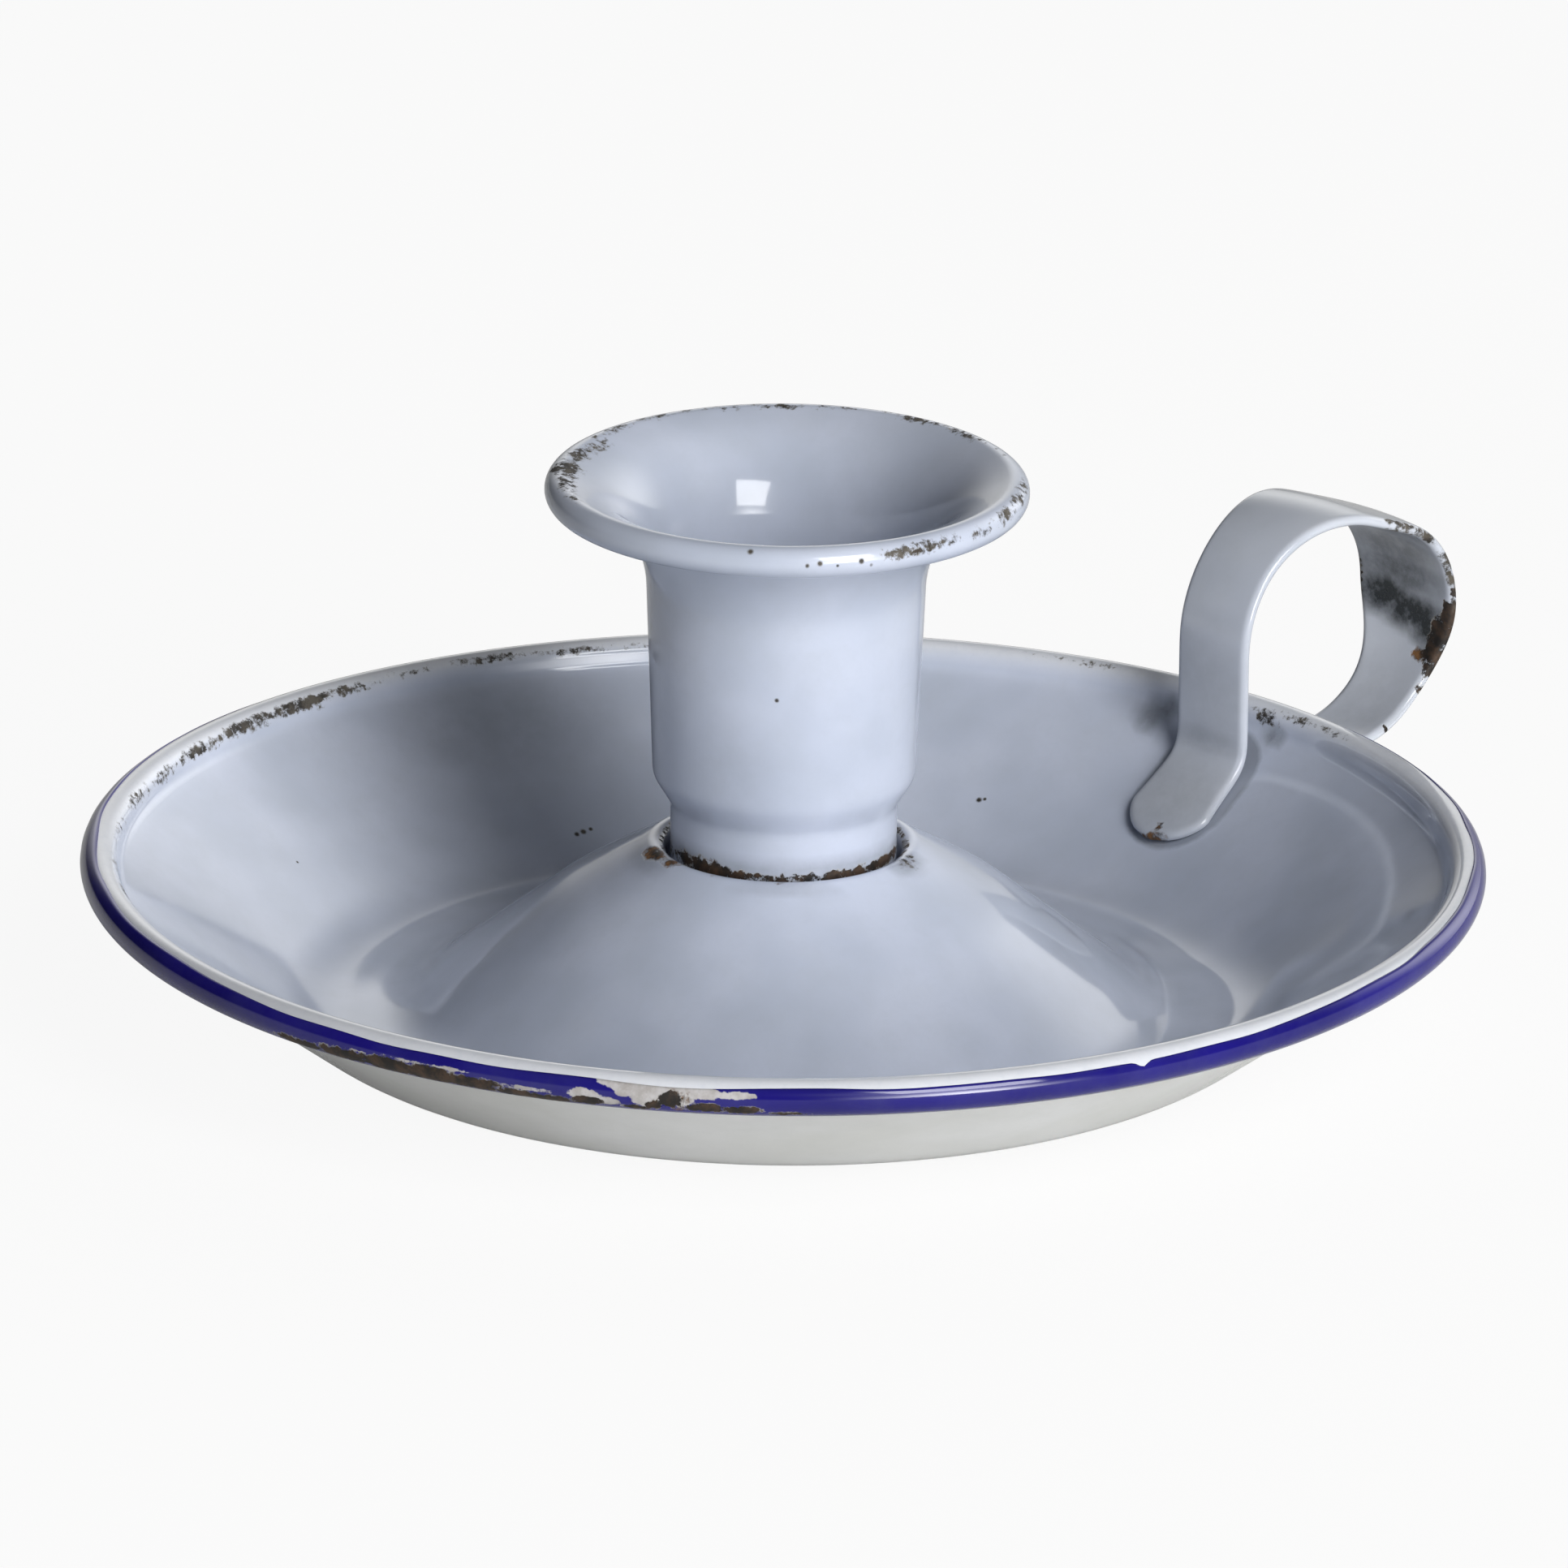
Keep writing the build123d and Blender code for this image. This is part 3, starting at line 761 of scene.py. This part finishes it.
def makeStrap():
    gap = pan["sheet"] / 2 + strap["weldGap"] + strap["sheet"] / 2
    innerBend, direction = wallLine(radius=strap["legRadius"], side=gap)
    outerBend, _ = wallLine(height=strap["outerHeight"], side=-gap)
    innerTip = innerBend - direction * strap["tongue"]
    outerTip = outerBend - direction * strap["tongue"]
    corners = [
        innerTip, innerBend, (strap["legRadius"], strap["shoulder"]), (strap["endRadius"], strap["heel"]),
        (strap["endRadius"], strap["bottom"]), outerBend, outerTip]
    bm = bmesh.new()
    bentLine(bm, corners, strap["bends"], strap["stride"])
    easeFrom, passes, easeShare = strap["ease"]
    loopVerts = [vert for vert in bm.verts if len(vert.link_edges) == 2 and vert.co.x > easeFrom * mm]
    for _ in range(passes):
        bmesh.ops.smooth_vert(bm, verts=loopVerts, factor=easeShare, use_axis_x=True, use_axis_z=True)
    # rows across the strap, 2 mm wide for now
    bmesh.ops.translate(bm, verts=bm.verts, vec=(0, -mm, 0))
    edges = bm.edges[:]
    for _ in range(strap["across"]):
        made = bmesh.ops.extrude_edge_only(bm, edges=edges)["geom"]
        bmesh.ops.translate(
            bm, verts=[item for item in made if isinstance(item, bmesh.types.BMVert)],
            vec=(0, 2 * mm / strap["across"], 0))
        edges = [item for item in made if isinstance(item, bmesh.types.BMEdge)
                 and abs(item.verts[0].co.y - item.verts[1].co.y) < shaping["rowGap"] * mm]
    bmesh.ops.recalc_face_normals(bm, faces=bm.faces)
    faceUp(bm, max(bm.faces, key=lambda face: face.calc_center_median().z))
    bm.normal_update()
    loopMiddle = (strap["legRadius"] + strap["endRadius"]) / 2
    normals = {vert: vert.normal.copy() for vert in bm.verts}
    roundness = []
    for vert in bm.verts:
        share = math.sin(vert.co.y / mm * math.pi / 2)  # closer rows towards the edges
        place = Vector((vert.co.x, vert.co.z)) / mm
        toEdge = strap["halfWidth"]
        half = easeBetween(
            abs(place.x - strap["legRadius"]), 0, strap["waistLength"] / 2, strap["halfWaist"], strap["halfWidth"])
        if place.x > loopMiddle:
            half = min(half, easeBetween(place.y, *strap["neckHeights"], strap["halfNeck"], strap["halfWidth"]))
        elif place.x > outerBend.x and place.y < outerBend.y + strap["lowRun"]:
            half = easeBetween(place.x, outerBend.x, loopMiddle, strap["halfWaist"], strap["halfNeck"])
        for tip in (innerTip, outerTip):
            fromTip = (place - tip).dot(direction)
            if abs((place - tip).cross(direction)) < strap["nearTongue"] and fromTip < strap["halfTongue"]:
                left = strap["halfTongue"] - max(fromTip, strap["bluntTip"])
                half = min(half, math.sqrt(strap["halfTongue"] ** 2 - left ** 2))
                toEdge = strap["halfTongue"] - math.hypot(left, share * half)
        toEdge = max(0.0, min(toEdge, half * (1 - abs(share))))
        roundness.append(math.sqrt(1 - max(0.0, 1 - toEdge / strap["edgeRound"]) ** 2))
        vert.co.y = share * half * mm
        vert.co -= normals[vert] * strap["crown"] * (half / strap["halfWidth"] * share) ** 2 * mm
    piece = finishPiece(bm, "fingerLoop", [litLoopEnamel, loopInside], "finger_loop")
    for name in ("chip", "rust", "speck", "stainAndShade", "rubbed"):
        wearField(piece, name, strap[name])
    edge = piece.vertex_groups.new(name="edge")
    for index, weight in enumerate(roundness):
        edge.add([index], weight, "REPLACE")
    wall = thicken(piece, strap["sheet"], underSlot=1)
    wall.vertex_group = "edge"
    wall.thickness_vertex_group = strap["thinEdge"]


makeStrap()


# Spot welds: the CAD pieces are right, and get bare steel

for name in ("socket_welds", "loop_welds"):
    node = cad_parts[name]
    node.data.materials.clear()
    node.data.materials.append(steel)
print("welds dressed")


# Table and light: a pale floor, a soft window to the right of the camera and a dim room with brighter sides

studio = {
    "floorSize": 60.0,  # metres
    "floorColor": "#ECECEA",
    "floorRoughness": 0.9,
    "floorSpecular": 0.1,
    "floorDrop": 0.05,  # mm below the foot ring
    "floorGlow": 0.92,  # how far the camera sees it as plain white
    "glossyShare": 0.15,  # how much of that glow the enamel mirrors
    "roomColor": "#FAFAF9",
    "roomStrength": 0.015,
    # soft bright sides of the room: azimuth from +X and elevation in degrees, tightness, strength
    "brightSides": [
        (-106.0, 5.0, 50.0, 20.8), (-115.0, 30.0, 50.0, 1.5), (-4.0, 22.0, 24.0, 2.3), (10.0, 8.0, 30.0, 1.5),
        (46.0, 14.0, 30.0, 1.7), (-70.0, 64.0, 12.0, 0.3)],
    # sines of elevation between which the pale horizon fades out, and its strength
    "horizon": (0.02, 0.05, 0.3),
    # azimuth and elevation in degrees, distance, width and height in metres, watts
    "window": (-105.0, 34.0, 1.4, 0.56, 0.58, 10.0),
}


def towards(azimuth, elevation):
    turn, rise = math.radians(azimuth), math.radians(elevation)
    return Vector((math.cos(turn) * math.cos(rise), math.sin(turn) * math.cos(rise), math.sin(rise)))


def seenDirectly(tree):
    glossy = addNode(tree, "LightPath", {}, output="Is Glossy Ray")
    seen = addNode(tree, "Math", {0: glossy, 1: studio["glossyShare"]}, operation="MULTIPLY")
    for name in ("Is Camera Ray", "Is Transmission Ray"):
        ray = addNode(tree, "LightPath", {}, output=name)
        seen = addNode(tree, "Math", {0: seen, 1: ray}, operation="MAXIMUM")
    return seen


def addFloor():
    bm = bmesh.new()
    bmesh.ops.create_grid(bm, x_segments=1, y_segments=1, size=studio["floorSize"] / 2)
    bmesh.ops.translate(bm, verts=bm.verts, vec=(0, 0, -studio["floorDrop"] * mm))
    mesh = bpy.data.meshes.new("floor")
    bm.to_mesh(mesh)
    bm.free()
    material, tree, shader = newMaterial("matt pale table")
    shader.inputs["Base Color"].default_value = hexColor(studio["floorColor"])
    shader.inputs["Roughness"].default_value = studio["floorRoughness"]
    shader.inputs["Specular IOR Level"].default_value = studio["floorSpecular"]
    glow = addNode(tree, "Emission", {"Color": (1, 1, 1, 1), "Strength": 1.0})
    share = addNode(tree, "Math", {0: seenDirectly(tree), 1: studio["floorGlow"]}, operation="MULTIPLY")
    mixed = addNode(tree, "MixShader", {0: share, 1: shader.outputs[0], 2: glow})
    tree.links.new(mixed, tree.nodes["Material Output"].inputs["Surface"])
    mesh.materials.append(material)
    floor = bpy.data.objects.new("floor", mesh)
    bpy.context.scene.collection.objects.link(floor)


def addRoom():
    world = bpy.data.worlds.new("room")
    bpy.context.scene.world = world
    world.use_nodes = True
    tree = world.node_tree
    way = addNode(tree, "TexCoord", {})
    rise = addNode(tree, "SeparateXYZ", {0: way}, output=2)
    low, high, horizonStrength = studio["horizon"]
    light = addNode(tree, "MapRange", {
        "Value": rise, "From Min": high, "From Max": low,
        "To Min": studio["roomStrength"], "To Max": horizonStrength})
    for azimuth, elevation, tightness, strength in studio["brightSides"]:
        facing = addNode(
            tree, "VectorMath", {0: way, 1: towards(azimuth, elevation)}, output=1, operation="DOT_PRODUCT")
        facing = addNode(tree, "Math", {0: facing, 1: 0.0}, operation="MAXIMUM")
        glow = addNode(tree, "Math", {0: facing, 1: tightness}, operation="POWER")
        light = addNode(tree, "Math", {0: glow, 1: strength, 2: light}, operation="MULTIPLY_ADD")
    # the camera sees white behind the floor
    seen = addNode(tree, "LightPath", {}, output="Is Camera Ray")
    light = addNode(tree, "Math", {0: light, 1: seen}, operation="MAXIMUM")
    shade = tree.nodes["Background"]
    shade.inputs["Color"].default_value = hexColor(studio["roomColor"])
    tree.links.new(light, shade.inputs["Strength"])


def addWindow():
    azimuth, elevation, distance, width, height, power = studio["window"]
    light = bpy.data.lights.new("window", "AREA")
    light.shape = "RECTANGLE"
    light.size, light.size_y = width, height
    light.energy = power
    lamp = bpy.data.objects.new("window", light)
    away = towards(azimuth, elevation)
    lamp.location = away * distance + Vector((0, 0, camera["aimHeight"] * mm))
    lamp.rotation_mode = "QUATERNION"
    lamp.rotation_quaternion = (-away).to_track_quat("-Z", "Y")
    bpy.context.scene.collection.objects.link(lamp)


addFloor()
addRoom()
addWindow()
bpy.context.scene.view_settings.view_transform = "Standard"
print("floor and light placed")
